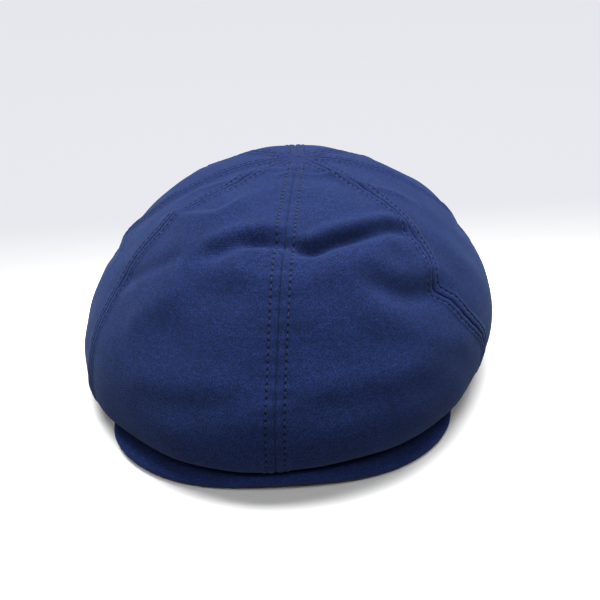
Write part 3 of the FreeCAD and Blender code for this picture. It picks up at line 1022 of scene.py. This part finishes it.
# the visor's copy of the twill is lighter: painted light for the light that the crown's overhang
# keeps off the visor
visor_twill_painted_light = twill_material("visor_twill_painted_light", 1.4)
thread = woven_material("topstitch_thread", (0.0017, 0.0038, 0.0165), (0.0032, 0.0070, 0.0285),
                        0.25 * MM, (1.0, 1.0), 0.8, 0.05)
satin = woven_material("satin_lining", (0.010, 0.014, 0.034), (0.020, 0.027, 0.062), 0.5 * MM,
                       (1.0, 0.2), 0.38, 0.15, 0.25)
grosgrain = woven_material("grosgrain", (0.012, 0.019, 0.055), (0.024, 0.036, 0.095), 1.1 * MM,
                           (1.0, 0.0), 0.8, 0.3, 0.8)
ribbed = woven_material("ribbed_elastic", (0.010, 0.010, 0.012), (0.03, 0.03, 0.036), 1.4 * MM,
                        (0.0, 1.0), 0.75, 0.2, 0.9)
woven_label = woven_material("woven_label", (0.60, 0.58, 0.54), (0.78, 0.76, 0.71), 0.6 * MM,
                             (0.0, 1.0), 0.6, 0.3, 0.5)
buckram = woven_material("buckram", (0.06, 0.06, 0.07), (0.12, 0.12, 0.13), 0.9 * MM,
                         (1.0, 0.0), 0.8, 0.1, 0.8)
board = generated_material("visor_board_plastic", (0.70, 0.70, 0.68), (0.82, 0.82, 0.80), 220.0, 0.55)
brass = generated_material("antiqued_brass", (0.30, 0.22, 0.11), (0.58, 0.47, 0.27), 900.0, 0.38, 1.0)

threads_by_seam = {}
for gore_index in range(len(GORES)):
    gore, stitch_lines, gore_flat, gore_area = make_gore(gore_index)
    dress(gore, "crown", twill, "twill", (GORES[gore_index],))
    threads_by_seam.setdefault(gore_index, []).append(stitch_lines[0])
    threads_by_seam.setdefault((gore_index + 1) % len(GORES), []).append(stitch_lines[1])

# a seam's stitching holds the rows on both gores beside it
SEAM_NAMES = ("centre_front", "front_left", "side_left", "rear_left",
              "centre_back", "rear_right", "side_right", "front_right")
for seam_index, seam_name in enumerate(SEAM_NAMES):
    seam_thread = stitches("topstitching_" + seam_name, threads_by_seam[seam_index])
    dress(seam_thread, "crown", thread, "thread")

headband, band_run = make_ring("headband_cloth", BAND_HALF, HEADBAND_THICK, 0.0, BAND_TOP,
                               headband_stray)
dress(headband, "crown", twill, "twill", ("headband",))
sweatband, sweat_run = make_ring("sweatband_strip", SWEAT_HALF, SWEATBAND_THICK, sweat_low[2],
                                 sweat_high[2], sweatband_stray)
dress(sweatband, "crown", grosgrain, "sweatband", ("sweatband",))

# node, piece, where it is and how far it reaches round the band in degrees, and its make
PATCHES = (("back_elastic", "back_elastic_strip", 180, 30, ELASTIC_THICK, 220, ribbed, "elastic"),
           ("size_label", "size_label_cloth", 130, 10, LABEL_THICK, 0, woven_label, "label"))
for node_name, patch_name, middle, reach, thick, ribs, material, slot in PATCHES:
    low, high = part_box(node_name)
    patch, run = band_patch(patch_name, middle, reach, thick, low[2], high[2], ribs)
    dress(patch, "crown", material, slot, (node_name,))

tip_t = math.asin((TIP_HEIGHT - BAND_TOP) / (LINING_TOP - BAND_TOP)) / (math.pi / 2)
side_ts = np.linspace(0.004, tip_t, 60)
half_turn = np.linspace(0.004, math.pi - 0.004, 181)
for side_name, offset in (("left", 0.0), ("right", math.pi)):
    lining = lining_piece("lining_%s_satin" % side_name, half_turn + offset, side_ts)
    dress(lining, "crown", satin, "lining", ("lining_" + side_name,))
tip = lining_piece("lining_tip_satin", np.linspace(0, TAU, 241)[:-1],
                   np.linspace(tip_t, 0.985, 50), whole=True)
dress(tip, "crown", satin, "lining", ("lining_tip",))

for side_name, side in (("top", 1), ("under", -1)):
    cover, cover_flat, cover_area = make_visor_cover("visor_%s_cloth" % side_name, side)
    flex(cover, visor_twill_painted_light, "visor_%s_cover" % side_name)
flex(make_board(), board, "visor_board")

# CAD nodes that stay, with better materials
KEPT_NODES = {"band_stiffener": buckram, "snap_stud": brass, "snap_stud_plate": brass,
              "snap_socket": brass, "snap_socket_cap": brass}
for node_name, node_material in KEPT_NODES.items():
    for material_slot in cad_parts[node_name].material_slots:
        material_slot.material = node_material

# --- floor, light, camera ---
SWEEP_FLAT = 2.4
SWEEP_CURVE = 0.6
SWEEP_HEIGHT = 1.55
SWEEP_SIDES = 96


def make_sweep():
    """A round floor that curves up into a wall far off, which shows only from low down."""
    profile = [(SWEEP_FLAT * k / 6, 0.0) for k in range(1, 7)]
    for k in range(1, 13):
        bend = math.pi / 2 * k / 12
        profile.append((SWEEP_FLAT + SWEEP_CURVE * math.sin(bend),
                        SWEEP_CURVE * (1.0 - math.cos(bend))))
    profile.append((SWEEP_FLAT + SWEEP_CURVE, SWEEP_HEIGHT))
    angle = TAU * np.arange(SWEEP_SIDES) / SWEEP_SIDES
    rings = [stack(r * np.cos(angle), r * np.sin(angle), z) for r, z in profile]
    vertices = np.concatenate(rings + [np.zeros((1, 3))])
    faces = quads(len(profile), SWEEP_SIDES, 0, True, True)
    for c in range(SWEEP_SIDES):
        faces.append([c, (c + 1) % SWEEP_SIDES, len(vertices) - 1])
    return add_object("sweep", vertices, faces)


floor = make_sweep()
floor.data.materials.append(floor_material())


def soft_light(name, place, aim, size, energy):
    """A rectangular lamp at a place, turned to its aim."""
    lamp = bpy.data.lights.new(name, "AREA")
    lamp.shape = "RECTANGLE"
    lamp.size, lamp.size_y = size
    lamp.energy = energy
    light = bpy.data.objects.new(name, lamp)
    light.location = place
    direction = Vector(aim) - Vector(place)
    light.rotation_mode = "QUATERNION"
    light.rotation_quaternion = direction.to_track_quat("-Z", "Y")
    bpy.context.scene.collection.objects.link(light)


soft_light("overhead", (0.0, 0.28, 1.24), (0.0, 0.02, 0.05), (1.3, 0.7), 126.0)
soft_light("front_fill", (0.05, -0.87, 1.10), (0.0, -0.05, 0.03), (1.1, 0.3), 31.0)

world = bpy.data.worlds.new("studio")
world.use_nodes = True
world.node_tree.nodes["Background"].inputs["Color"].default_value = (0.93, 0.96, 1.0, 1.0)
world.node_tree.nodes["Background"].inputs["Strength"].default_value = 0.10
bpy.context.scene.world = world
bpy.context.scene.view_settings.view_transform = "Standard"
bpy.context.scene.view_settings.gamma = 0.8

CAMERA_AZIMUTH = 2.2
CAMERA_ELEVATION = 29.7
CAMERA_ROLL = -1.6
CAMERA_DISTANCE = 0.432
CAMERA_TARGET = Vector((8.1 * MM, OPENING_Y, 30.0 * MM))
CAMERA_LENS = 39.6

azimuth = math.radians(CAMERA_AZIMUTH)
elevation = math.radians(CAMERA_ELEVATION)
back = Vector((math.sin(azimuth) * math.cos(elevation), -math.cos(azimuth) * math.cos(elevation),
               math.sin(elevation)))
camera_data = bpy.data.cameras.new("camera")
camera_data.lens = CAMERA_LENS
camera_data.sensor_width = 36.0
camera_data.clip_start = 0.01
camera = bpy.data.objects.new("camera", camera_data)
camera.location = CAMERA_TARGET + back * CAMERA_DISTANCE
turn = (-back).to_track_quat("-Z", "Y").to_matrix()
roll = Matrix.Rotation(math.radians(CAMERA_ROLL), 3, "Z")
camera.rotation_mode = "QUATERNION"
camera.rotation_quaternion = (turn @ roll).to_quaternion()
bpy.context.scene.collection.objects.link(camera)
bpy.context.scene.camera = camera
